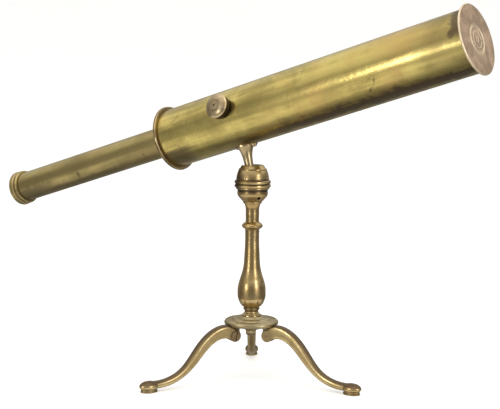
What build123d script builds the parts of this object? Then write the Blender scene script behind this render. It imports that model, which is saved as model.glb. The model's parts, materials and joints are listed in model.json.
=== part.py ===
from build123d import *
from math import acos, cos, pi, radians, sin, sqrt, tan
import os

# Brass refracting telescope on a folding three-leg table stand. Millimetres, +Z up.
# The origin is on the table under the stand's column, and the objective points to +X.

# ---- stand ----
BALL_Z = 237.5            # centre of the ball joint above the table
BALL_R = 16.0
SEAT_GAP = 0.06           # running clearance of the ball in its socket
HUB_BOTTOM = 68.3
HUB_TOP = 79.0
HUB_R = 32.9
TENON_R = 5.5             # column tenon through the hub
LEG_AZIMUTH = 3.0         # first leg, from +X
LEG_W = 10.5              # across the knuckle
PIVOT_R = 24.0            # leg pivot from the column axis
PIVOT_Z = 56.5
KNUCKLE_R = 7.2
LUG_W = 4.4
FORK_W = 4.8
LEG_SCREW_R = 6.2
PAD_X = 136.5             # centre of a foot pad

# ---- socket ----
SPIGOT_R = 18.2           # threaded spigot between the two halves of the socket
SLOT_W = 12.4             # slot for the stem
STEM_RAKE = 4.0           # the stem leans this much from square to the barrel

# ---- telescope, along its own axis; 0 is square above the ball ----
ELEVATION = 17.0          # tube above the horizon
AXIS_RISE = 83.4          # ball centre to tube axis
BARREL_R = 35.9
BARREL_BORE = 34.4
BARREL_REAR = -95.0
BARREL_FRONT = 321.2
FLANGE_REAR = -98.4
FLANGE_R = 40.5
CAP_R = 40.0
CAP_T = 2.3
DRAW_R = 19.08
DRAW_BORE = 17.88
DRAW_FRONT = 38.0
EYE_END = -370.0
EYE_R = 22.8
SLIDE_GAP = 0.06
COLLAR_REAR = 28.0
DRAW_IN = 60.0            # focusing travel into the barrel
DRAW_OUT = 15.0           # and out of it

# ---- focusing gear ----
PINION_S = 4.8            # pinion axis along the tube
PINION_LIFT = 19.0        # pinion axis above the horizontal, on the -Y side
MODULE = 0.8
TEETH = 12
PITCH_R = MODULE * TEETH / 2
PRESSURE = radians(20)
BACKLASH = 0.16
GEAR_LOW = 19.7           # gear face, from the tube axis
GEAR_HIGH = 25.3
SHAFT_R = 2.5
KNOB_R = 15.1
KNOB_RIM = 45.6           # widest part of the knob, from the tube axis

BALL_FRAME = Pos(0, 0, BALL_Z)
TUBE_FRAME = BALL_FRAME * Rot(0, -ELEVATION, 0) * Pos(0, 0, AXIS_RISE)
STEM_FRAME = BALL_FRAME * Rot(0, -ELEVATION + STEM_RAKE, 0)
PINION_FRAME = Pos(PINION_S, 0, 0) * Rot(90 - PINION_LIFT, 0, 0)
ALONG_TUBE = Rot(0, 90, 0)
FOOT_S = AXIS_RISE * tan(radians(STEM_RAKE)) * 0.57
SCREW_REACH = 12.5        # stem to the foot screw, along the barrel
GROUND = -BALL_Z          # table, seen from the ball centre


def outline(*points):
    """A closed face in the XZ plane from (radius, height) corners."""
    corners = [(r, 0, z) for r, z in points]
    return make_face(Polyline(*corners, close=True))


def turned(*points):
    """A solid of revolution about Z from (radius, height) corners."""
    return revolve(outline(*points), Axis.Z)


def ring(outer, inner, start, end):
    """A plain ring about Z between two heights."""
    return Pos(0, 0, start) * extrude(Circle(outer) - Circle(inner), end - start)


def disc(radius, start, end):
    """A plain disc about Z between two heights."""
    return Pos(0, 0, start) * extrude(Circle(radius), end - start)


def lens_side(radius, height, bulge):
    """Half the outline of a lens face, from the axis to its edge."""
    if bulge == 0:
        return Line((0, 0, height), (radius, 0, height))
    sphere_r = (radius**2 + bulge**2) / (2 * abs(bulge))
    middle = radius / 2
    drop = abs(bulge) - (sphere_r - sqrt(sphere_r**2 - middle**2))
    sign = 1 if bulge > 0 else -1
    return ThreePointArc((0, 0, height + bulge), (middle, 0, height + sign * drop), (radius, 0, height))


def lens(radius, rear, edge, bulge_rear, bulge_front):
    """A lens about Z: flat-edged, with a bulge (or a hollow, when negative) on each side."""
    front = rear + edge
    back = lens_side(radius, rear, -bulge_rear)
    face = lens_side(radius, front, bulge_front)
    rim = Line((radius, 0, rear), (radius, 0, front))
    axis = Line((0, 0, rear - bulge_rear), (0, 0, front + bulge_front))
    return revolve(make_face(Curve() + [back, rim, face, axis]), Axis.Z)


def round_screw(head_r, head_h, shank_r, length):
    """A slotted round-head screw, its head on top of z = 0."""
    dome = Pos(0, 0, head_h / 2) * Cylinder(head_r, head_h)
    dome = fillet(dome.edges().sort_by(Axis.Z)[-1], head_h * 0.7)
    slot = Pos(0, 0, head_h) * Box(2 * head_r, head_r * 0.28, head_h * 0.8)
    shank = Pos(0, 0, -length / 2) * Cylinder(shank_r, length)
    return dome - slot + shank


# ---- stand ----
def make_hub():
    """The moulded disc with one tongue per leg under it."""
    body = turned(
        (0, HUB_BOTTOM + 1.5), (HUB_R - 4, HUB_BOTTOM + 1.5), (HUB_R - 4, HUB_BOTTOM),
        (HUB_R - 1.6, HUB_BOTTOM), (HUB_R - 0.4, HUB_BOTTOM + 1), (HUB_R, HUB_BOTTOM + 2.6),
        (HUB_R - 0.3, HUB_BOTTOM + 4.2), (HUB_R - 1.4, HUB_BOTTOM + 5.6), (HUB_R - 2.9, HUB_BOTTOM + 6.4),
        (HUB_R - 4.4, HUB_BOTTOM + 6.5), (HUB_R - 5.1, HUB_BOTTOM + 5.3), (HUB_R - 7.4, HUB_BOTTOM + 5.2),
        (HUB_R - 8.9, HUB_BOTTOM + 6), (HUB_R - 9.9, HUB_BOTTOM + 7.4), (HUB_R - 11.6, HUB_BOTTOM + 8.3),
        (HUB_R - 13.6, HUB_BOTTOM + 8.4), (HUB_R - 14.2, HUB_BOTTOM + 7.9), (HUB_R - 16.4, HUB_BOTTOM + 8.1),
        (HUB_R - 19, HUB_TOP), (0, HUB_TOP))
    tongue = Pos(PIVOT_R, 0, PIVOT_Z) * Rot(90, 0, 0) * Cylinder(KNUCKLE_R - 0.4, LUG_W)
    rise = HUB_BOTTOM + 3 - PIVOT_Z
    tongue += Pos(PIVOT_R, 0, PIVOT_Z + rise / 2) * Box(2 * KNUCKLE_R - 0.8, LUG_W, rise)
    tongue -= Pos(PIVOT_R, 0, PIVOT_Z) * Rot(90, 0, 0) * Cylinder(1.86, LUG_W)
    for turn in (0, 120, 240):
        body += Rot(0, 0, LEG_AZIMUTH + turn) * tongue
    return body - disc(TENON_R, HUB_BOTTOM - 5, HUB_TOP + 1)


def leg_section(out, height, lean, half_h, half_w, square):
    """A rounded cross-section of the leg, square to its centre line; a big last value is boxier."""
    corners = []
    for step in range(16):
        angle = 2 * pi * (step + 0.5) / 16
        c = cos(angle)
        s = sin(angle)
        across = half_w * abs(c) ** (2 / square) * (1 if c > 0 else -1)
        up = half_h * abs(s) ** (2 / square) * (1 if s > 0 else -1)
        corners.append((across, up))
    tilt = radians(lean)
    place = Plane(origin=(out, 0, height), x_dir=(0, 1, 0), z_dir=(cos(tilt), 0, sin(tilt)))
    return place * make_face(Spline(*corners, periodic=True))


def make_leg(turn):
    """A cabriole leg with a forked knuckle and a slipper foot on a flat sole."""
    limb = loft([
        leg_section(26, 57.6, 30, 6.2, 5.6, 5),
        leg_section(34, 62.0, 8, 8.1, 6.0, 5),
        leg_section(46, 60.9, -20, 7.3, 5.9, 4.4),
        leg_section(58, 54.5, -37, 6.9, 5.7, 3.6),
        leg_section(74, 38.1, -46, 6.4, 5.4, 3),
        leg_section(90, 20.9, -40, 5.2, 5.1, 2.7),
        leg_section(106, 11.6, -22, 4.8, 5.0, 2.5),
        leg_section(122, 8.1, -6, 4.6, 5.4, 2.3),
        leg_section(134, 7.7, 0, 5.0, 6.6, 2.2),
    ])
    slipper = Pos(PAD_X, 0, 7.2) * scale(Sphere(10), by=(1.2, 0.86, 0.6))
    sole = Pos(PAD_X, 0, 0) * extrude(Ellipse(10.4, 7.6), 2)
    sole = chamfer(sole.edges(), 0.4)
    waist = Pos(PAD_X, 0, 1) * extrude(Ellipse(9.9, 7.1), 4)
    across = Pos(PIVOT_R, 0, PIVOT_Z) * Rot(-90, 0, 0)
    knuckle = across * Cylinder(KNUCKLE_R, LEG_W)
    knuckle = chamfer(knuckle.edges().filter_by(GeomType.CIRCLE), 0.5)
    for side in (-1, 1):
        limb -= across * Pos(0, 0, side * (LEG_W / 2 + 5)) * Cylinder(KNUCKLE_R + 0.6, 10)
    leg = limb + knuckle + slipper + waist + sole
    leg -= Pos(PIVOT_R + KNUCKLE_R - 0.1 - 20, 0, PIVOT_Z) * Box(40, FORK_W, 40)
    leg -= across * Cylinder(1.8, LEG_W + 2)
    leg -= disc(HUB_R + 0.4, HUB_BOTTOM - 0.1, HUB_TOP)
    return Rot(0, 0, LEG_AZIMUTH + turn) * leg


def make_leg_screw(turn):
    """The slotted pivot screw, its broad head on one cheek of the fork."""
    reach = LEG_W / 2
    head = Pos(0, 0, reach + 0.75) * Cylinder(LEG_SCREW_R, 1.5)
    head = fillet(head.edges().sort_by(Axis.Z)[-1], 0.9)
    screw = head + Cylinder(1.8, LEG_W)
    screw -= Pos(0, 0, reach + 1.5) * Box(14, 1.5, 1.8)
    across = Pos(PIVOT_R, 0, PIVOT_Z) * Rot(-90, 0, 0) * Rot(0, 0, 80)
    return Rot(0, 0, LEG_AZIMUTH + turn) * across * screw


def make_hub_washer():
    """The plain washer under the hub."""
    return chamfer(ring(11.5, TENON_R + 0.1, HUB_BOTTOM, HUB_BOTTOM + 1.5).edges(), 0.3)


def make_hub_nut():
    """The round nut on the column's tenon, with two spanner notches."""
    nut = ring(9.5, TENON_R, HUB_BOTTOM - 6, HUB_BOTTOM)
    nut = chamfer(nut.faces().sort_by(Axis.Z)[0].edges(), 0.6)
    return nut - Pos(0, 0, HUB_BOTTOM - 6) * Box(30, 2, 4)


def make_column():
    """The baluster, from the collar knop down to its tenon through the hub."""
    knop = GROUND + HUB_TOP
    edge = Polyline((0, 0, -44), (8.4, 0, -44), (9.4, 0, -44.8))
    collar = Spline((9.4, 0, -44.8), (11.6, 0, -46.6), (12.7, 0, -48.6), (11.8, 0, -50.6), (9.4, 0, -52.4))
    step = Polyline((9.4, 0, -52.4), (8.6, 0, -53.4))
    shaft = Spline((8.6, 0, -53.4), (8.5, 0, -68), (9.3, 0, -86), (10.4, 0, -99), (13.5, 0, -111),
                   (16.6, 0, -122), (17.1, 0, -129), (16.8, 0, -136))
    cup = Spline((16.5, 0, -136.6), (14.8, 0, -141.6), (10.5, 0, -147.2),
                 tangents=[(-0.2, 0, -1), (-1, 0, -0.6)])
    foot = Polyline((10.5, 0, -147.2), (9.2, 0, -147.9), (9.2, 0, -148.8), (9.9, 0, -149.2),
                    (9.9, 0, -150.6), (9.2, 0, -151), (8.5, 0, -151.8), (8.2, 0, -153.2),
                    (8.7, 0, -154.6), (10, 0, -155.6), (10.4, 0, -156.6), (11.8, 0, -157.2),
                    (12, 0, knop), (0, 0, knop), (0, 0, -44))
    groove = Polyline((16.8, 0, -136), (16.3, 0, -136.2), (16.5, 0, -136.6))
    body = revolve(make_face(Curve() + [edge, collar, step, shaft, groove, cup, foot]), Axis.Z)
    body += disc(TENON_R, knop - 17, knop)
    body -= disc(5, -60, -43)
    return BALL_FRAME * body


def make_lower_socket():
    """The lower bowl of the ball joint, with the neck that screws into the column."""
    side = Polyline((0, 0, -2.5), (SPIGOT_R, 0, -2.5), (SPIGOT_R, 0, -8.2), (18.6, 0, -8.4))
    bowl = Spline((18.6, 0, -8.4), (17.6, 0, -12.4), (13.6, 0, -17.4), (11.3, 0, -19.6),
                  tangents=[(0, 0, -1), (-1, 0, -0.7)])
    lip = Polyline((11.3, 0, -19.6), (11.5, 0, -20.4), (11.2, 0, -21.2), (10.2, 0, -21.6))
    neck = Spline((10.2, 0, -21.6), (8.7, 0, -25), (8.1, 0, -33), (8, 0, -44),
                  tangents=[(-0.5, 0, -1), (0, 0, -1)])
    end = Polyline((8, 0, -44), (5, 0, -44), (5, 0, -57), (0, 0, -57), (0, 0, -2.5))
    body = revolve(make_face(Curve() + [side, bowl, lip, neck, end]), Axis.Z)
    body -= Sphere(BALL_R + SEAT_GAP)
    body -= disc(7, -18, -10)
    hole = Rot(0, 0, -29) * Pos(14, 0, -14.2) * Rot(0, 90, 0) * Cylinder(2, 7)
    return BALL_FRAME * (body - hole)


def make_leather_pad():
    """The leather friction pad under the ball."""
    pad = disc(7, -18, -12) - Sphere(BALL_R)
    return BALL_FRAME * pad


def make_upper_cup():
    """The upper half of the ball joint: screwed on, beaded, and slotted for the stem."""
    side = Polyline((SPIGOT_R + SEAT_GAP, 0, -4.6), (19.4, 0, -4.6), (20.2, 0, -3.4), (20.2, 0, -2.6))
    rings = Polyline((20.2, 0, -2.6), (21.6, 0, -1.6), (21.9, 0, -0.4), (21.6, 0, 0.8), (20.7, 0, 1.6),
                     (20.7, 0, 2.2), (21.6, 0, 3), (21.9, 0, 4.2), (21.6, 0, 5.4), (20.4, 0, 6.4),
                     (19.7, 0, 6.8), (19.7, 0, 8))
    dome = Spline((19.7, 0, 8), (19.1, 0, 12), (18, 0, 16), (16.7, 0, 18.8),
                  tangents=[(0, 0, 1), (-0.6, 0, 1)])
    rim = Polyline((16.7, 0, 18.8), (17.1, 0, 19.1), (17, 0, 19.8), (16.2, 0, 20.1), (15.9, 0, 20),
                   (14.9, 0, 21.4), (13.6, 0, 23.4), (13, 0, 24.2), (12.3, 0, 24.4), (9.6, 0, 13),
                   (0, 0, 13), (0, 0, -1.8), (SPIGOT_R + SEAT_GAP, 0, -1.8), (SPIGOT_R + SEAT_GAP, 0, -4.6))
    cup = revolve(make_face(Curve() + [side, rings, dome, rim]), Axis.Z)
    cup -= Sphere(BALL_R + SEAT_GAP)
    floor = 7.3 + SLOT_W / 2
    slot = Pos(-20, 0, floor) * Rot(0, 90, 0) * Cylinder(SLOT_W / 2, 40)
    slot += Pos(-20, 0, floor + 10) * Box(40, SLOT_W, 20)
    cup -= slot
    cup -= Rot(0, 0, -84) * Pos(20, 0, 9.5) * Rot(0, 90, 0) * Cylinder(1.3, 5)
    return BALL_FRAME * cup


def make_cup_pin():
    """The small stop pin in the side of the upper cup."""
    pin = Pos(19, 0, 9.5) * Rot(0, 90, 0) * Cylinder(1.3, 3)
    pin = fillet(pin.edges().sort_by(Axis.X)[-1], 0.5)
    return BALL_FRAME * Rot(0, 0, -84) * pin


def make_ball():
    """The ball, bored for the stem."""
    ball = Sphere(BALL_R) & Pos(0, 0, -1.4) * Box(40, 40, 32)
    return STEM_FRAME * (ball - disc(4, -6, 20))


# ---- telescope ----
def make_stem():
    """The stem and the saddle foot that carries the barrel."""
    gap = 14.75
    edge = Line((0, 0, gap), (5.3, 0, gap))
    waist = Spline((5.3, 0, gap), (5.3, 0, 24), (5.8, 0, 33), (7.4, 0, 41), (9.8, 0, 47),
                   tangents=[(0, 0, 1), (0.5, 0, 1)])
    crown = Polyline((9.8, 0, 47), (9.8, 0, 55), (0, 0, 55), (0, 0, gap))
    stem = revolve(make_face(Curve() + [edge, waist, crown]), Axis.Z)
    stem += disc(4 - SLIDE_GAP, -5.5, gap)
    stem = Rot(0, STEM_RAKE, 0) * stem
    barrel = Pos(0, 0, AXIS_RISE) * ALONG_TUBE * Cylinder(BARREL_R, 120)
    saddle = Pos(0, 0, AXIS_RISE) * ALONG_TUBE * Cylinder(BARREL_R + 1.6, 120)
    plate = Pos(FOOT_S - 1.5, 0) * Circle(10.8)
    plate += Pos(FOOT_S + SCREW_REACH / 2, 0) * SlotCenterToCenter(SCREW_REACH, 8.4)
    saddle = saddle & extrude(plate, 90) & Pos(0, 0, 30) * Box(200, 60, 40)
    stem = stem + saddle - barrel
    stem -= Pos(FOOT_S + SCREW_REACH, 0, 45) * Cylinder(1.6, 20)
    return TUBE_FRAME * Pos(0, 0, -AXIS_RISE) * stem


def make_foot_screw():
    """The round-head screw in the front lug of the saddle foot."""
    low = -BARREL_R - 1.6
    reach = BARREL_R + 1.6 - BARREL_BORE
    screw = Rot(180, 0, 0) * round_screw(3.2, 1.9, 1.6, reach)
    return TUBE_FRAME * Pos(FOOT_S + SCREW_REACH, 0, low) * screw


def make_barrel():
    """The main tube, drilled for the pinion bush and the foot screw."""
    tube = ALONG_TUBE * ring(BARREL_R, BARREL_BORE, BARREL_REAR, BARREL_FRONT)
    tube -= PINION_FRAME * disc(6, 25, 50)
    tube -= Pos(FOOT_S + SCREW_REACH, 0, -BARREL_R) * Cylinder(1.6, 10)
    return TUBE_FRAME * tube


def make_rear_flange():
    """The grooved end plate that closes the back of the barrel."""
    r = FLANGE_R
    z = FLANGE_REAR
    body = turned(
        (DRAW_R + 2.4, z + 1), (r - 6, z + 1), (r - 5, z), (r - 1.2, z), (r - 0.3, z + 0.3), (r, z + 0.9),
        (r - 0.2, z + 1.3), (r - 0.8, z + 1.5), (r - 0.8, z + 1.9), (r - 0.2, z + 2.1), (r - 0.4, z + 2.9),
        (r - 1.2, BARREL_REAR), (BARREL_BORE, BARREL_REAR), (BARREL_BORE, -82), (BARREL_BORE - 2, -82),
        (BARREL_BORE - 2, z + 4), (DRAW_R + 2.4, z + 4))
    return TUBE_FRAME * ALONG_TUBE * body


def make_guide_sleeve():
    """The sleeve in the end plate in which the draw tube slides."""
    bore = DRAW_R + SLIDE_GAP
    z = FLANGE_REAR
    body = turned((bore, z - 1.2), (bore + 2, z - 1.2), (bore + 3.4, z - 0.4), (bore + 3.4, z + 1),
                  (DRAW_R + 2.4, z + 1), (DRAW_R + 2.4, -78), (bore, -78))
    return TUBE_FRAME * ALONG_TUBE * body


def make_objective_cell():
    """The cell that holds the two object lenses in the barrel's mouth."""
    body = turned((29.5, 280), (BARREL_BORE, 280), (BARREL_BORE, 300), (32, 300), (32, 283), (29.5, 283))
    return TUBE_FRAME * ALONG_TUBE * body


def make_lens_ring():
    """The ring that keeps the object lenses in their cell."""
    body = chamfer(ring(32, 29.5, 293, 296.4).edges(), 0.3)
    body -= Pos(0, 0, 296.4) * Box(80, 2, 2)
    return TUBE_FRAME * ALONG_TUBE * body


def make_flint_lens():
    """The hollow flint lens, against the cell's lip."""
    return TUBE_FRAME * ALONG_TUBE * lens(31.9, 283, 5, -0.6, -1.5)


def make_crown_lens():
    """The bulging crown lens in front of the flint."""
    return TUBE_FRAME * ALONG_TUBE * lens(31.9, 288, 5, 1.4, 1.6)


def make_baffle():
    """The stop ring half-way down the barrel."""
    body = turned((24, 178), (BARREL_BORE, 178), (BARREL_BORE, 186), (BARREL_BORE - 1, 186),
                  (BARREL_BORE - 1, 179.2), (24, 179.2))
    return TUBE_FRAME * ALONG_TUBE * body


def make_dust_cap():
    """The flat turned cap that plugs the barrel's mouth."""
    z = BARREL_FRONT + 0.1
    f = z + CAP_T
    body = turned(
        (0, z), (BARREL_BORE - 2, z), (BARREL_BORE - 2, z - 12), (BARREL_BORE - SLIDE_GAP, z - 12),
        (BARREL_BORE - SLIDE_GAP, z), (CAP_R - 0.5, z), (CAP_R, z + 0.5), (CAP_R, f - 0.6), (CAP_R - 0.6, f),
        (17, f), (16.6, f - 0.35), (16.2, f), (15.2, f), (14.8, f - 0.35), (14.4, f),
        (9.8, f), (9.4, f - 0.3), (9, f), (3.2, f), (2.8, f - 0.3), (2.4, f), (0, f))
    return TUBE_FRAME * ALONG_TUBE * body


# ---- draw tube ----
def make_draw_tube():
    """The sliding tube that carries the eyepiece and the rack."""
    tube = ALONG_TUBE * ring(DRAW_R, DRAW_BORE, EYE_END + 14, DRAW_FRONT)
    for step in range(3):
        tube -= rack_screw_place(step) * Cylinder(0.9, 20)
    return TUBE_FRAME * tube


def rack_screw_place(step):
    """Where a rack screw stands, in the tube's frame."""
    start = PINION_S - DRAW_IN
    gap = (DRAW_IN + DRAW_OUT - 8) / 2
    return Pos(start + 4 + step * gap, 0, 0) * Rot(90 - PINION_LIFT, 0, 0) * Pos(0, -8.6, 20)


def make_collar():
    """The spool-shaped collar that centres the draw tube in the barrel."""
    z = COLLAR_REAR
    rim = BARREL_BORE - SLIDE_GAP
    body = turned((DRAW_R, z), (DRAW_R + 2.4, z), (DRAW_R + 2.4, z + 4), (rim - 2.2, z + 4), (rim - 2.2, z),
                  (rim, z), (rim, z + 10), (rim - 2.2, z + 10), (rim - 2.2, z + 6), (DRAW_R + 2.4, z + 6),
                  (DRAW_R + 2.4, z + 10), (DRAW_R, z + 10))
    return TUBE_FRAME * ALONG_TUBE * body


def make_rack():
    """The rack on the side of the draw tube."""
    start = PINION_S - DRAW_IN - 4
    end = PINION_S + DRAW_OUT + 4
    pitch = pi * MODULE
    root = -PITCH_R - 1.05 * MODULE
    bar = Pos((start + end) / 2, root - 2.65, 20) * Box(end - start, 5.3, 9.8)
    half = pitch / 4 - BACKLASH / 2
    slope = tan(PRESSURE)
    low = half + 1.05 * MODULE * slope
    high = half - 0.85 * MODULE * slope
    tooth = make_face(Polyline((-low, root - 0.2), (-low, root), (-high, -PITCH_R + 0.85 * MODULE),
                               (high, -PITCH_R + 0.85 * MODULE), (low, root), (low, root - 0.2), close=True))
    tooth = Pos(0, 0, 15.1) * extrude(tooth, 9.8)
    first = -int((DRAW_IN + 2) / pitch)
    last = int((DRAW_OUT + 2) / pitch)
    teeth = [Pos(PINION_S + k * pitch, 0, 0) * tooth for k in range(first, last + 1)]
    bar = bar + teeth
    bar = Rot(90 - PINION_LIFT, 0, 0) * bar
    bar -= ALONG_TUBE * Cylinder(DRAW_R, 400)
    for step in range(3):
        bar -= rack_screw_place(step) * Cylinder(0.9, 20)
        bar -= rack_screw_place(step) * Pos(0, 0, 4.9) * Cylinder(1.6, 2)
    return TUBE_FRAME * bar


def make_rack_screws():
    """The three small screws of the rack."""
    screws = Part()
    for step in range(3):
        screw = Pos(0, 0, 4.4) * Cylinder(1.6, 1) + Pos(0, 0, 0.55) * Cylinder(0.9, 7)
        screw -= Pos(0, 0, 4.9) * Box(4, 0.5, 0.9)
        screws += rack_screw_place(step) * screw
    return TUBE_FRAME * screws


def make_eyepiece_mount():
    """The moulded end ring with the eye hole."""
    z = EYE_END
    r = EYE_R
    body = turned(
        (5, z + 1.2), (9, z + 0.2), (10, z), (r - 4, z), (r - 1.6, z + 0.7), (r - 0.3, z + 2), (r, z + 3.2),
        (r - 0.2, z + 4.2), (r - 0.7, z + 4.5), (r - 0.2, z + 4.8), (r - 0.2, z + 5.8), (r - 0.7, z + 6.1),
        (r - 0.2, z + 6.4), (r - 0.4, z + 7.6), (r - 1.4, z + 8.4), (r - 2.2, z + 8.8), (r - 2.2, z + 10.6),
        (r - 1.2, z + 11.2), (r - 0.6, z + 12.2), (r - 0.9, z + 13.4), (r - 1.8, z + 14.4),
        (DRAW_R, z + 14.6),
        (DRAW_R, z + 14), (DRAW_BORE, z + 14), (DRAW_BORE, z + 26), (DRAW_BORE - 1.6, z + 26),
        (DRAW_BORE - 1.6, z + 13), (12, z + 13), (12, z + 5), (8, z + 5), (5, z + 3))
    return TUBE_FRAME * ALONG_TUBE * body


def make_eye_lens():
    """The lens next to the eye."""
    return TUBE_FRAME * ALONG_TUBE * lens(11.95, EYE_END + 5.1, 2.6, 0, 1.4)


def make_eye_lens_ring():
    """The ring that keeps the eye lens in its seat."""
    return TUBE_FRAME * ALONG_TUBE * ring(12, 10, EYE_END + 8.2, EYE_END + 11)


def make_lens_cell(start, length):
    """A short cell in the draw tube with a seat for one lens at its front end."""
    body = turned((12.6, start), (DRAW_BORE, start), (DRAW_BORE, start + length),
                  (15.5, start + length), (15.5, start + 4), (12.6, start + 4))
    return TUBE_FRAME * ALONG_TUBE * body


def make_cell_lens(start):
    """The lens of a short cell, held against its seat."""
    return TUBE_FRAME * ALONG_TUBE * lens(15.45, start + 4.05, 3, 0, 1.6)


# ---- focusing gear and knob ----
def flank(radius, base):
    """Half the angle of a pinion tooth at a radius."""
    involute = tan(PRESSURE) - PRESSURE
    angle = acos(min(1, base / radius))
    return pi / 2 / TEETH - BACKLASH / 4 / PITCH_R + involute - (tan(angle) - angle)


def make_pinion():
    """The pinion and its shaft; a tooth gap faces the rack."""
    base = PITCH_R * cos(PRESSURE)
    root = PITCH_R - 1.15 * MODULE
    tip = PITCH_R + 0.85 * MODULE
    radii = (root, base, PITCH_R, (PITCH_R + tip) / 2, tip)
    pitch = 2 * pi / TEETH
    corners = []
    for tooth in range(TEETH):
        middle = -pi / 2 + (tooth + 0.5) * pitch
        rising = [(r, middle - flank(r, base)) for r in radii]
        falling = [(r, middle + flank(r, base)) for r in reversed(radii)]
        corners += [(r * cos(a), r * sin(a)) for r, a in rising + falling]
    gear = Pos(0, 0, GEAR_LOW) * extrude(make_face(Polyline(*corners, close=True)), GEAR_HIGH - GEAR_LOW)
    shaft = disc(SHAFT_R, GEAR_HIGH - 0.5, KNOB_RIM + 2)
    return TUBE_FRAME * PINION_FRAME * (gear + shaft)


def make_pinion_bush():
    """The bush in the barrel's wall with its round escutcheon."""
    body = turned((SHAFT_R + SLIDE_GAP, 27), (5.95, 27), (5.95, 33), (10, 33), (10, 37), (9.4, 37.6),
                  (SHAFT_R + SLIDE_GAP, 37.6))
    boss = turned((SHAFT_R + SLIDE_GAP, 27), (5.95, 27), (5.95, 37.6), (SHAFT_R + SLIDE_GAP, 37.6))
    plate = body - Pos(-PINION_S, 0, 0) * Rot(PINION_LIFT - 90, 0, 0) * ALONG_TUBE * Cylinder(BARREL_R, 200)
    return TUBE_FRAME * PINION_FRAME * (plate + boss)


def make_knob():
    """The domed focusing knob with its deep milled skirt."""
    r = KNOB_R
    w = KNOB_RIM
    low = Polyline((SHAFT_R, 0, 38.2), (10.8, 0, 38.2), (10.8, 0, 37.4), (r - 1.7, 0, 37.4), (r - 1.1, 0, 38),
                   (r - 1.1, 0, w - 1.6), (r - 0.9, 0, w - 1.2), (r - 0.2, 0, w - 0.9), (r, 0, w),
                   (r - 0.5, 0, w + 0.7))
    dome = Spline((r - 0.5, 0, w + 0.7), (r * 0.75, 0, w + 3.1), (r * 0.46, 0, w + 4.4),
                  tangents=[(-0.6, 0, 0.8), (-1, 0, 0.1)])
    top = Polyline((r * 0.46, 0, w + 4.4), (r * 0.44, 0, w + 4.1), (r * 0.42, 0, w + 4.5), (0.9, 0, w + 4.6),
                   (0.5, 0, w + 3.9), (0, 0, w + 3.9), (0, 0, w + 2), (SHAFT_R, 0, w + 2), (SHAFT_R, 0, 38.2))
    body = revolve(make_face(Curve() + [low, dome, top]), Axis.Z)
    return TUBE_FRAME * PINION_FRAME * body


def build():
    """Every sub-part by name."""
    parts = {
        "hub": make_hub(),
        "hub_washer": make_hub_washer(),
        "hub_nut": make_hub_nut(),
        "column": make_column(),
        "lower_socket": make_lower_socket(),
        "leather_pad": make_leather_pad(),
        "upper_cup": make_upper_cup(),
        "cup_pin": make_cup_pin(),
        "ball": make_ball(),
        "stem": make_stem(),
        "foot_screw": make_foot_screw(),
        "barrel": make_barrel(),
        "rear_flange": make_rear_flange(),
        "guide_sleeve": make_guide_sleeve(),
        "baffle": make_baffle(),
        "objective_cell": make_objective_cell(),
        "flint_lens": make_flint_lens(),
        "crown_lens": make_crown_lens(),
        "lens_ring": make_lens_ring(),
        "dust_cap": make_dust_cap(),
        "draw_tube": make_draw_tube(),
        "draw_collar": make_collar(),
        "rack": make_rack(),
        "rack_screws": make_rack_screws(),
        "eyepiece_mount": make_eyepiece_mount(),
        "eye_lens": make_eye_lens(),
        "eye_lens_ring": make_eye_lens_ring(),
        "pinion": make_pinion(),
        "pinion_bush": make_pinion_bush(),
        "focus_knob": make_knob(),
    }
    for name, turn in (("front", 0), ("far", 120), ("near", 240)):
        parts[name + "_leg"] = make_leg(turn)
        parts[name + "_leg_screw"] = make_leg_screw(turn)
    for name, start in (("field", -322), ("rear_erector", -252), ("front_erector", -196)):
        parts[name + "_cell"] = make_lens_cell(start, 12)
        parts[name + "_lens"] = make_cell_lens(start)
    return parts


os.makedirs("parts", exist_ok=True)
for part_name, shape in build().items():
    export_step(shape, f"parts/{part_name}.step")
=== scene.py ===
import json
import math

import bpy
from mathutils import Matrix, Vector


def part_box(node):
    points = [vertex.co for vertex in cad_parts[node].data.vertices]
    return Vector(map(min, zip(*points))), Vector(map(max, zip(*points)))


# Looks for the brass telescope on its folding stand: materials, camera, floor and light.

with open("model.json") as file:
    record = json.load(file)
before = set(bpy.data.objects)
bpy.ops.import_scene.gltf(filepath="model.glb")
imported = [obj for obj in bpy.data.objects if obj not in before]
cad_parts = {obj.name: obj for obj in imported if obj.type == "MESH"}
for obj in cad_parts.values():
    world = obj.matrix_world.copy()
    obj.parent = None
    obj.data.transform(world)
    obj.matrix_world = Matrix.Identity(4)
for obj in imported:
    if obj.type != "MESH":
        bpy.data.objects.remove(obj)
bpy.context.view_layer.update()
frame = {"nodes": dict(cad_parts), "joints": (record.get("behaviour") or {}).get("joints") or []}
nodes = frame["nodes"]
joints = {j["name"]: j for j in frame["joints"]}


# ---- places, from the frame ----
def basis(main, hint):
    """Columns: main, then two directions square to it; hint sets the second."""
    x = Vector(main).normalized()
    y = (Vector(hint) - x * x.dot(Vector(hint))).normalized()
    return Matrix((x, y, x.cross(y))).transposed()


def middle(node):
    """The centre of a node's box."""
    low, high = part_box(node)
    return (low + high) / 2


ball = Vector(joints["pan"]["pos_m"])
tube_basis = basis(joints["draw_slide"]["axis"], (0, 1, 0))       # X along the tube, Y across, Z up
tube_frame = (middle("barrel"), tube_basis)


def along_tube(node):
    """How far a node's centre lies along the tube from the middle of the barrel."""
    return (tube_basis.transposed() @ (middle(node) - tube_frame[0])).x


knob_frame = (Vector(joints["focus_spin"]["pos_m"]), basis(joints["focus_spin"]["axis"], (1, 0, 0)))
barrel_ends = sorted((along_tube("rear_flange"), along_tube("dust_cap")))
leg_pivots = [Vector(joints[n + "_leg_fold"]["pos_m"]) for n in ("front", "far", "near")]

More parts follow.
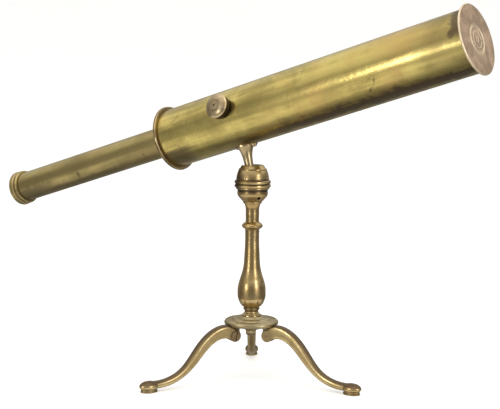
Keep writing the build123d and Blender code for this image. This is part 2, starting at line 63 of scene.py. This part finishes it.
VIEW_AZIMUTH = math.radians(33.37)      # where the camera stands, anticlockwise from -Y
CAMERA_DISTANCE = 1.5865
CAMERA_RISE = 0.10                      # radians above level, seen from the aim point
CAMERA_PITCH, CAMERA_YAW, CAMERA_ROLL = 0.1121, -0.0019, 0.010
SENSOR_WIDTH, LENS = 36, 95.19          # millimetres
AIM_DROP = 0.004                        # the aim point lies this far under the ball's centre
FLOOR_FLAT, SWEEP, WALL_TOP = 3.2, 1.5, 5.0
SWEEP_STEPS, FLOOR_SIDES = 12, 96
LIGHT_AIM = Vector((0, 0, 0.22))        # the lights point here
CAP_RINGS = ((0.0148, 0.0006, 0.0008), (0.0168, 0.0002, 0.0007),
             (0.0094, 0.0003, 0.0008), (0.0030, 0.0002, 0.0008))  # radius, half width, softness
back = Vector((math.sin(VIEW_AZIMUTH), -math.cos(VIEW_AZIMUTH), 0))
right = Vector((math.cos(VIEW_AZIMUTH), math.sin(VIEW_AZIMUTH), 0))
stand_frame = (ball, basis(right, -back))       # X across the view, Z up


def rgb(r, g, b):
    """An opaque colour."""
    return (r, g, b, 1.0)


class Graph:
    """A small builder for node trees."""

    def __init__(self, tree):
        self.tree = tree

    def node(self, kind, inputs=None, **settings):
        """Adds a node, sets its properties and links or fills its inputs."""
        made = self.tree.nodes.new(kind)
        for key, value in settings.items():
            setattr(made, key, value)
        for key, value in (inputs or {}).items():
            self.put(made.inputs[key], value)
        return made

    def put(self, socket, value):
        """Links a socket to another, or gives it a constant."""
        if isinstance(value, bpy.types.NodeSocket):
            self.tree.links.new(value, socket)
        else:
            socket.default_value = value

    def maths(self, operation, a, b=0.0, c=0.0):
        """One step of arithmetic."""
        return self.node("ShaderNodeMath", {0: a, 1: b, 2: c}, operation=operation).outputs[0]

    def ramp(self, value, low, high, start=0.0, end=1.0):
        """Eases from start to end while the value goes from low to high."""
        made = self.node("ShaderNodeMapRange", {0: value, 1: low, 2: high, 3: start, 4: end},
                         interpolation_type="SMOOTHSTEP")
        return made.outputs[0]

    def bell(self, value, centre, half, soft):
        """1 within half of the centre, falling to 0 over soft."""
        away = self.maths("ABSOLUTE", self.maths("SUBTRACT", value, centre))
        return self.ramp(away, half, half + soft, 1.0, 0.0)

    def times(self, *values):
        """The product of several values."""
        total = values[0]
        for value in values[1:]:
            total = self.maths("MULTIPLY", total, value)
        return total

    def most(self, *values):
        """The largest of several values."""
        total = values[0]
        for value in values[1:]:
            total = self.maths("MAXIMUM", total, value)
        return total

    def jitter(self, value, amount):
        """A ragged value, 0 to 1, turned into a shift of up to half the amount each way."""
        return self.times(self.maths("SUBTRACT", value, 0.5), amount)

    def blend(self, factor, a, b):
        """Blends two colours."""
        made = self.node("ShaderNodeMix", data_type="RGBA")
        self.put(made.inputs["Factor"], factor)
        self.put(made.inputs[6], a)
        self.put(made.inputs[7], b)
        return made.outputs[2]

    def noise(self, vector, scale, detail=4.0, rough=0.55, warp=0.0):
        """Fractal noise, 0 to 1."""
        made = self.node("ShaderNodeTexNoise", {"Vector": vector, "Scale": scale, "Detail": detail,
                                                "Roughness": rough, "Distortion": warp})
        return made.outputs["Fac"]

    def stretch(self, vector, factors):
        """Scales a position along each axis."""
        return self.node("ShaderNodeVectorMath", {0: vector, 1: factors}, operation="MULTIPLY").outputs[0]

    def parts(self, vector):
        """The three components."""
        return self.node("ShaderNodeSeparateXYZ", {0: vector}).outputs

    def place(self, where=None):
        """Position on the piece, in metres, in the CAD frame or in another (origin, basis)."""
        raw = self.node("ShaderNodeTexCoord").outputs["Object"]
        if where is None:
            return raw
        origin, axes = where
        turn = axes.transposed()
        made = self.node("ShaderNodeMapping", {"Vector": raw, "Location": turn @ -origin,
                                               "Rotation": turn.to_euler("XYZ")})
        return made.outputs[0]

    def bump(self, height, distance, strength=1.0, normal=None):
        """A bump from a height."""
        inputs = {"Height": height, "Distance": distance, "Strength": strength}
        if normal is not None:
            inputs["Normal"] = normal
        return self.node("ShaderNodeBump", inputs).outputs[0]

    def crevice(self, distance):
        """1 in corners and grooves narrower than about the distance, 0 in the open."""
        made = self.node("ShaderNodeAmbientOcclusion", {"Distance": distance}, samples=8)
        return self.ramp(made.outputs["AO"], 0.35, 0.85, 1.0, 0.0)


class Finish(Graph):
    """A material and its shader."""

    def __init__(self, name):
        self.material = bpy.data.materials.new(name)
        self.material.use_nodes = True
        super().__init__(self.material.node_tree)
        self.bsdf = self.tree.nodes["Principled BSDF"]

    def set(self, **values):
        """Links or fills the shader's sockets; underscores stand for spaces."""
        for key, value in values.items():
            self.put(self.bsdf.inputs[key.replace("_", " ")], value)


def brass(name, tones, tarnish_and_shade_colour, rough, where=None, grain=(1, 1, 1), dirt_and_shade=0.9, spots=0.5,
          extra=None, edge=0.0):
    """Aged brass.

    tones: a light, a dark and a third, differently tinted colour; grain: how streaks run;
    extra: more patina and painted shade, from the builder and the position; edge: rounding of sharp edges,
    in metres.
    """
    s = Finish(name)
    p = s.place(where)
    cloud = s.noise(p, 22, 5, 0.6, 0.4)
    hue = s.noise(p, 11, 3, 0.5, 0.6)
    streak = s.noise(s.stretch(p, tuple(55 * g for g in grain)), 1.0, 5, 0.62)
    scratch = s.noise(s.stretch(p, tuple(700 * g for g in grain)), 1.0, 3, 0.6)
    speck = s.noise(p, 380, 4, 0.6)
    patch = s.noise(p, 48, 6, 0.68, 0.8)
    tone = s.maths("ADD", s.times(cloud, 0.5), s.times(streak, 0.5))
    colour = s.blend(s.ramp(tone, 0.40, 0.59), tones[1], tones[0])
    colour = s.blend(s.ramp(hue, 0.45, 0.68, 0.0, 0.75), colour, tones[2])
    cover = s.maths("MAXIMUM", s.ramp(patch, 0.64 - 0.1 * spots, 0.78 - 0.1 * spots, 0, 0.8),
                    s.ramp(speck, 0.66, 0.74, 0, 0.6))
    # Darkened corners and grooves: the short reach is grime in the crevices, the long reach is painted shade
    # in broad hollows such as the neck under the column's bulge.
    crevice_dirt_and_shade = s.times(s.maths("MAXIMUM", s.crevice(0.004), s.times(s.crevice(0.022), 0.55)), dirt_and_shade)
    cover = s.maths("MAXIMUM", cover, crevice_dirt_and_shade)
    if extra:
        ragged = s.maths("ADD", s.times(patch, 0.6), s.times(streak, 0.4))
        cover = s.maths("MAXIMUM", cover, extra(s, p, ragged))
    # One dark colour covers the patina patches and specks, the grime in crevices and the painted shade.
    s.set(Base_Color=s.blend(cover, colour, tarnish_and_shade_colour), Metallic=1.0)
    uneven = s.ramp(tone, 0.36, 0.64, rough * 1.3, rough * 0.8)
    s.set(Roughness=s.maths("ADD", uneven, s.times(cover, 0.18)))
    normal = None
    if edge:
        normal = s.node("ShaderNodeBevel", {"Radius": edge}, samples=4).outputs[0]
    normal = s.bump(cloud, 0.0012, 0.30, normal)
    normal = s.bump(streak, 0.00012, 0.5, normal)
    s.set(Normal=s.bump(scratch, 0.00002, 0.3, normal))
    return s


# ---- the finishes ----
def barrel_grime_and_shade(s, p, ragged):
    """Darker, browner colour along the belly of the tube, black smudges at both of its ends, and painted
    shade towards the front end.
    """
    x, y, z = s.parts(p)
    turn = s.maths("ARCTAN2", z, s.maths("MULTIPLY", y, -1.0))
    turn = s.maths("ADD", turn, s.jitter(ragged, 1.3))
    belly = s.bell(turn, -1.12, 0.13, 0.30)
    under = s.bell(turn, -1.75, 0.40, 0.40)
    fade = s.ramp(x, barrel_ends[0] + 0.02, barrel_ends[0] + 0.20, 0.12, 0.92)
    belly = s.times(belly, fade)
    under = s.times(under, 0.45, fade)
    rear = s.times(s.bell(x, barrel_ends[0] + 0.012, 0.008, 0.03), s.bell(turn, -0.95, 0.25, 0.35), 0.75)
    smudge = s.maths("ADD", x, s.jitter(ragged, 0.06))
    front = s.times(s.bell(smudge, barrel_ends[1], 0.003, 0.012), s.bell(turn, 0.75, 0.35, 0.7), 0.9)
    # Painted shade: the front end is darkened all round, in place of the darker floor it reflects.
    shade = s.times(s.bell(x, barrel_ends[1], 0.012, 0.07), 0.42)
    return s.most(belly, under, rear, front, shade)


def draw_grime(s, p, ragged):
    """A brown band under the draw tube and a dark end near the eyepiece."""
    x, y, z = s.parts(p)
    turn = s.maths("ARCTAN2", z, s.maths("MULTIPLY", y, -1.0))
    turn = s.maths("ADD", turn, s.jitter(ragged, 1.2))
    fade = s.ramp(x, barrel_ends[0] - 0.16, barrel_ends[0], 0.6, 0.1)
    belly = s.times(s.bell(turn, -1.15, 0.2, 0.35), fade)
    end = s.bell(x, along_tube("eyepiece_mount") + 0.02, 0.01, 0.05)
    end = s.times(end, s.bell(turn, -0.8, 0.35, 0.4), 0.7)
    return s.maths("MAXIMUM", belly, end)


def leg_grime_and_shade(s, p, ragged):
    """Painted shade on the upper faces, and darker knuckles."""
    up = s.parts(s.node("ShaderNodeTexCoord").outputs["Normal"])[2]
    up = s.maths("ADD", up, s.jitter(ragged, 0.7))
    # Painted shade: faces turned upwards are darkened.
    painted_top_shade = s.ramp(up, 0.18, 0.55, 0.0, 0.92)
    near = [s.node("ShaderNodeVectorMath", {0: p, 1: spot}, operation="DISTANCE").outputs["Value"]
            for spot in leg_pivots]
    close = s.maths("MINIMUM", s.maths("MINIMUM", near[0], near[1]), near[2])
    return s.maths("MAXIMUM", painted_top_shade, s.ramp(close, 0.008, 0.014, 0.45, 0.0))


def stand_grime_and_shade(s, p, ragged):
    """Black grime and painted shade in the grooves round the cup, and painted shade on its left side."""
    x, _, z = s.parts(p)
    high = s.maths("ADD", z, s.jitter(ragged, 0.003))
    # Dark bands in the grooves round the cup: grime and painted shade.
    under = s.times(s.bell(high, -0.0058, 0.0011, 0.0012), 0.95)
    between = s.times(s.bell(high, 0.0019, 0.0004, 0.0010), 0.85)
    above = s.times(s.bell(high, 0.0073, 0.0005, 0.0012), 0.75)
    # Painted shade on the left side of the cup.
    painted_left_shade = s.maths("ADD", x, s.jitter(ragged, 0.02))
    painted_left_shade = s.times(s.ramp(painted_left_shade, -0.019, -0.009, 0.85, 0.0), s.bell(z, 0.009, 0.012, 0.006))
    return s.most(under, between, above, painted_left_shade)


barrel_brass = brass("barrel_brass", (rgb(0.70, 0.565, 0.185), rgb(0.39, 0.31, 0.10), rgb(0.61, 0.43, 0.15)),
                     rgb(0.115, 0.082, 0.052), 0.25, tube_frame, (0.10, 1.9, 1.9), dirt_and_shade=0.8, spots=0.3,
                     extra=barrel_grime_and_shade)
flange_brass = brass("flange_brass", (rgb(0.42, 0.31, 0.16), rgb(0.22, 0.155, 0.085), rgb(0.46, 0.37, 0.19)),
                     rgb(0.09, 0.06, 0.035), 0.34, tube_frame, (1.6, 0.5, 0.5), dirt_and_shade=1.0, spots=0.8)
draw_brass = brass("draw_brass", (rgb(0.46, 0.37, 0.155), rgb(0.31, 0.245, 0.10), rgb(0.42, 0.31, 0.13)),
                   rgb(0.13, 0.10, 0.06), 0.33, tube_frame, (0.12, 1.6, 1.6), spots=0.4, extra=draw_grime)
eye_brass = brass("eye_brass", (rgb(0.50, 0.40, 0.18), rgb(0.33, 0.25, 0.11), rgb(0.42, 0.30, 0.13)),
                  rgb(0.08, 0.055, 0.03), 0.30, tube_frame, (1.6, 0.5, 0.5), dirt_and_shade=1.0, spots=0.6)
stand_brass = brass("stand_brass", (rgb(0.60, 0.45, 0.22), rgb(0.38, 0.27, 0.12), rgb(0.46, 0.31, 0.13)),
                    rgb(0.075, 0.052, 0.032), 0.24, stand_frame, (0.5, 0.5, 2.2), dirt_and_shade=0.9, spots=0.45,
                    extra=stand_grime_and_shade)
stem_brass = brass("stem_brass", (rgb(0.62, 0.50, 0.29), rgb(0.42, 0.32, 0.17), rgb(0.52, 0.40, 0.20)),
                   rgb(0.10, 0.07, 0.04), 0.26, None, (1.2, 1.2, 0.6), dirt_and_shade=0.9, spots=0.5)
hub_brass = brass("hub_brass", (rgb(0.54, 0.44, 0.25), rgb(0.33, 0.26, 0.14), rgb(0.42, 0.39, 0.25)),
                  rgb(0.075, 0.06, 0.04), 0.38, None, (0.5, 0.5, 2.2), dirt_and_shade=1.0, spots=0.9)
leg_brass = brass("leg_brass", (rgb(0.68, 0.52, 0.26), rgb(0.45, 0.33, 0.15), rgb(0.55, 0.38, 0.17)),
                  rgb(0.13, 0.088, 0.05), 0.27, None, (1, 1, 1), dirt_and_shade=0.95, spots=0.35, extra=leg_grime_and_shade)
screw_brass = brass("screw_brass", (rgb(0.42, 0.31, 0.16), rgb(0.24, 0.17, 0.09), rgb(0.36, 0.22, 0.10)),
                    rgb(0.06, 0.04, 0.025), 0.34, None, (1, 1, 1), dirt_and_shade=1.0, spots=0.9, edge=0.0003)
inner_brass = brass("inner_brass", (rgb(0.60, 0.46, 0.20), rgb(0.50, 0.37, 0.15), rgb(0.52, 0.36, 0.15)),
                    rgb(0.20, 0.15, 0.07), 0.30, tube_frame, (1.6, 0.5, 0.5), spots=0.2)


def make_cap():
    """Matt, pinkish turned brass: fine turning lines round the middle, light rubbed rings and rim."""
    s = Finish("cap_brass")
    p = s.place(tube_frame)
    _, y, z = s.parts(p)
    away = s.maths("SQRT", s.maths("ADD", s.times(y, y), s.times(z, z)))
    flat = s.node("ShaderNodeCombineXYZ", {0: away}).outputs[0]
    turning = s.noise(flat, 2600, 3, 0.6)
    cloud = s.noise(p, 60, 5, 0.6, 0.5)
    spot = s.noise(p, 240, 4, 0.65)
    colour = s.blend(s.ramp(cloud, 0.38, 0.64), rgb(0.58, 0.42, 0.29), rgb(0.78, 0.58, 0.42))
    colour = s.blend(s.ramp(turning, 0.42, 0.62, 0.0, 0.35), colour, rgb(0.48, 0.35, 0.23))
    ring = s.most(*(s.bell(away, radius, half, soft) for radius, half, soft in CAP_RINGS))
    rim = s.ramp(away, 0.0385, 0.0397, 0.0, 0.7)
    colour = s.blend(s.maths("MAXIMUM", s.times(ring, 0.75), rim), colour, rgb(0.90, 0.76, 0.54))
    colour = s.blend(s.ramp(spot, 0.62, 0.72, 0, 0.5), colour, rgb(0.16, 0.11, 0.075))
    s.set(Base_Color=colour, Metallic=1.0, Roughness=s.ramp(cloud, 0.35, 0.65, 0.42, 0.58))
    normal = s.bump(turning, 0.00003, 0.6)
    s.set(Normal=s.bump(cloud, 0.0008, 0.2, normal))
    return s


def make_knob():
    """Dull rubbed face, a painted highlight on the rim, and a dark milled skirt."""
    s = Finish("knob_brass")
    p = s.place(knob_frame)
    high, y, z = s.parts(p)
    away = s.maths("SQRT", s.maths("ADD", s.times(y, y), s.times(z, z)))
    turn = s.maths("ARCTAN2", z, y)
    cloud = s.noise(p, 90, 5, 0.6, 0.5)
    fine = s.noise(p, 600, 4, 0.6)
    colour = s.blend(s.ramp(cloud, 0.4, 0.62), rgb(0.36, 0.27, 0.155), rgb(0.52, 0.41, 0.25))
    colour = s.blend(s.ramp(fine, 0.6, 0.7, 0, 0.5), colour, rgb(0.13, 0.09, 0.055))
    # Painted highlight: a bright band round the rim of the dome.
    rim = s.bell(high, 0.0460, 0.0006, 0.0009)
    colour = s.blend(s.times(rim, 0.7), colour, rgb(0.70, 0.56, 0.32))
    teeth = s.maths("SINE", s.times(turn, 64.0))
    skirt = s.ramp(high, 0.0438, 0.0448, 1.0, 0.0)
    rubbed = s.times(s.ramp(teeth, 0.55, 1.0), s.ramp(fine, 0.45, 0.6), 0.6)
    mill = s.blend(rubbed, rgb(0.055, 0.038, 0.024), rgb(0.30, 0.20, 0.10))
    colour = s.blend(skirt, colour, mill)
    pit = s.ramp(away, 0.0011, 0.0016, 0.9, 0.0)
    ring = s.times(s.bell(away, 0.0066, 0.0001, 0.0005), 0.6)
    hollow = s.times(s.maths("MAXIMUM", pit, ring), s.ramp(high, 0.047, 0.048))
    colour = s.blend(hollow, colour, rgb(0.05, 0.035, 0.02))
    s.set(Base_Color=colour, Metallic=1.0, Roughness=s.ramp(cloud, 0.35, 0.65, 0.30, 0.42))
    normal = s.bump(s.times(teeth, skirt), 0.0004, 0.9)
    s.set(Normal=s.bump(fine, 0.00004, 0.5, normal))
    return s


def make_steel():
    """Dark handled steel."""
    s = Finish("dark_steel")
    p = s.place()
    wear = s.noise(p, 300, 4)
    s.set(Base_Color=s.blend(s.ramp(wear, 0.4, 0.7), rgb(0.10, 0.09, 0.085), rgb(0.22, 0.20, 0.18)))
    s.set(Metallic=1.0, Roughness=s.ramp(wear, 0.3, 0.7, 0.3, 0.5))
    s.set(Normal=s.bump(s.noise(p, 2500, 2), 0.00003))
    return s


def make_glass():
    """Old lens glass with a faint green tint and a little dust."""
    s = Finish("lens_glass")
    dust = s.noise(s.place(), 900, 3)
    s.set(Base_Color=s.blend(s.ramp(dust, 0.5, 0.8), rgb(0.90, 0.96, 0.92), rgb(0.80, 0.84, 0.80)))
    s.set(Roughness=s.ramp(dust, 0.5, 0.85, 0.02, 0.12), Transmission_Weight=1.0, IOR=1.52)
    return s


def make_leather():
    """Waxed leather."""
    s = Finish("waxed_leather")
    grain = s.noise(s.place(), 700, 5)
    s.set(Base_Color=s.blend(grain, rgb(0.07, 0.035, 0.018), rgb(0.16, 0.085, 0.04)))
    s.set(Roughness=s.ramp(grain, 0.3, 0.7, 0.45, 0.7), Normal=s.bump(grain, 0.0002))
    return s


finishes = {
    barrel_brass: ("barrel",),
    flange_brass: ("rear_flange", "pinion_bush", "guide_sleeve"),
    draw_brass: ("draw_tube",),
    eye_brass: ("eyepiece_mount",),
    make_knob(): ("focus_knob",),
    stand_brass: ("column", "lower_socket", "upper_cup", "cup_pin", "ball", "hub_washer", "hub_nut"),
    stem_brass: ("stem", "foot_screw"),
    hub_brass: ("hub",),
    leg_brass: ("front_leg", "far_leg", "near_leg"),
    screw_brass: ("front_leg_screw", "far_leg_screw", "near_leg_screw"),
    inner_brass: ("baffle", "objective_cell", "lens_ring", "draw_collar", "rack", "eye_lens_ring",
                  "field_cell", "rear_erector_cell", "front_erector_cell"),
    make_cap(): ("dust_cap",),
    make_steel(): ("pinion", "rack_screws"),
    make_glass(): ("flint_lens", "crown_lens", "eye_lens", "field_lens", "rear_erector_lens",
                   "front_erector_lens"),
    make_leather(): ("leather_pad",),
}
for finish, names in finishes.items():
    for name in names:
        mesh = nodes[name].data
        mesh.materials.clear()
        mesh.materials.append(finish.material)


# ---- camera ----
def make_camera():
    """The camera, a little above the ball joint and in front of the knob side."""
    aim = Vector((0, 0, ball.z - AIM_DROP))
    spot = aim + CAMERA_DISTANCE * (back * math.cos(CAMERA_RISE) + Vector((0, 0, math.sin(CAMERA_RISE))))
    data = bpy.data.cameras.new("camera")
    data.sensor_width = SENSOR_WIDTH
    data.lens = LENS
    data.clip_end = 20
    camera = bpy.data.objects.new("camera", data)
    bpy.context.scene.collection.objects.link(camera)
    heading = Matrix.Rotation(VIEW_AZIMUTH - CAMERA_YAW, 4, "Z")
    turn = heading @ Matrix.Rotation(math.pi / 2 - CAMERA_PITCH, 4, "X")
    camera.matrix_world = Matrix.Translation(spot) @ turn @ Matrix.Rotation(CAMERA_ROLL, 4, "Z")
    bpy.context.scene.camera = camera


# ---- floor and backdrop ----
def make_stage():
    """A round pale floor that sweeps up into a wall all round."""
    outline = [(0.0, 0.0), (1.0, 0.0), (2.0, 0.0), (FLOOR_FLAT, 0.0)]
    for step in range(1, SWEEP_STEPS + 1):
        angle = math.pi / 2 * step / SWEEP_STEPS
        outline.append((FLOOR_FLAT + SWEEP * math.sin(angle), SWEEP - SWEEP * math.cos(angle)))
    outline.append((FLOOR_FLAT + SWEEP, WALL_TOP))
    sides = FLOOR_SIDES
    corners, faces = [], []
    for r, height in outline:
        for k in range(sides):
            angle = 2 * math.pi * k / sides
            corners.append((r * math.cos(angle), r * math.sin(angle), height))
    for i in range(len(outline) - 1):
        for k in range(sides):
            a, b = i * sides + k, i * sides + (k + 1) % sides
            faces.append((a, b, b + sides, a + sides))
    mesh = bpy.data.meshes.new("floor")
    mesh.from_pydata(corners, [], faces)
    mesh.polygons.foreach_set("use_smooth", [True] * len(faces))
    floor = bpy.data.objects.new("floor", mesh)
    bpy.context.scene.collection.objects.link(floor)
    s = Finish("pale_paper")
    s.set(Base_Color=s.blend(s.noise(s.place(), 3, 3), rgb(0.84, 0.84, 0.84), rgb(0.87, 0.87, 0.87)))
    s.set(Roughness=0.9, Emission_Color=rgb(1, 1, 1), Emission_Strength=0.36)
    mesh.materials.append(s.material)
    floor.visible_glossy = False
    floor.visible_diffuse = False
    floor.visible_shadow = False


# ---- light ----
def soft_box(name, azimuth, height, size, glow, distance=1.6):
    """A flat soft light facing the object; azimuth is 0 at the camera and positive to its right."""
    data = bpy.data.lights.new(name, "AREA")
    data.shape = "RECTANGLE"
    data.size, data.size_y = size
    data.energy = glow * math.pi * size[0] * size[1]
    lamp = bpy.data.objects.new(name, data)
    bpy.context.scene.collection.objects.link(lamp)
    rise = math.radians(height)
    toward = Matrix.Rotation(math.radians(azimuth), 4, "Z") @ back
    spot = LIGHT_AIM + distance * (toward * math.cos(rise) + Vector((0, 0, math.sin(rise))))
    facing = (LIGHT_AIM - spot).to_track_quat("-Z", "Y").to_matrix().to_4x4()
    lamp.matrix_world = Matrix.Translation(spot) @ facing
    lamp.visible_camera = False


def make_world():
    """The studio round the object: bright above and low in front, dimmer level with it and behind."""
    world = bpy.data.worlds.new("studio")
    bpy.context.scene.world = world
    world.use_nodes = True
    g = Graph(world.node_tree)
    way = g.node("ShaderNodeTexCoord").outputs["Generated"]
    height = g.parts(way)[2]
    level = g.maths("ABSOLUTE", height)
    # height of the direction, and how bright the room is there
    stops = ((-1.0, 0.22), (-0.93, 0.42), (-0.86, 0.80), (-0.56, 1.15), (-0.42, 0.85), (-0.31, 0.40),
             (-0.17, 0.50), (-0.04, 0.80), (0.14, 0.60), (0.42, 0.75), (0.60, 1.0), (1.0, 0.80))
    band = g.node("ShaderNodeValToRGB", {0: g.maths("MULTIPLY_ADD", height, 0.5, 0.5)})
    points = band.color_ramp.elements
    while len(points) < len(stops):
        points.new(0.5)
    for point, (where, glow) in zip(points, stops):
        point.position = where / 2 + 0.5
        point.color = rgb(glow, glow * 0.985, glow * 0.95)
    forward = g.node("ShaderNodeVectorMath", {0: way, 1: back}, operation="DOT_PRODUCT").outputs["Value"]
    sideways = g.node("ShaderNodeVectorMath", {0: way, 1: right}, operation="DOT_PRODUCT").outputs["Value"]
    level_only = g.ramp(level, 0.15, 0.45, 1.0, 0.0)
    dips = (g.times(g.ramp(g.maths("ABSOLUTE", sideways), 0.80, 0.97), level_only, 0.60),
            g.times(g.ramp(forward, 0.75, 0.95), g.ramp(level, 0.2, 0.5, 1.0, 0.0), 0.55),
            g.times(g.ramp(forward, -0.65, -0.1, 1.0, 0.0), g.ramp(height, 0.15, 0.45, 1.0, 0.0), 0.42),
            g.times(g.ramp(forward, -0.3, 0.2, 1.0, 0.0), g.ramp(height, -0.5, 0.0, 1.0, 0.0), 0.40))
    light = g.times(*(g.maths("SUBTRACT", 1.0, dip) for dip in dips))
    out = world.node_tree.nodes["Background"]
    g.put(out.inputs[0], band.outputs[0])
    g.put(out.inputs[1], light)


make_camera()
make_stage()
soft_box("left_box", -46, 4, (0.34, 0.44), 8.5)
soft_box("right_box", 42, 9, (0.52, 0.90), 3.4)
soft_box("top_box", 0, 80, (2.4, 1.6), 0.9, 1.8)
make_world()
bpy.context.scene.view_settings.view_transform = "Standard"
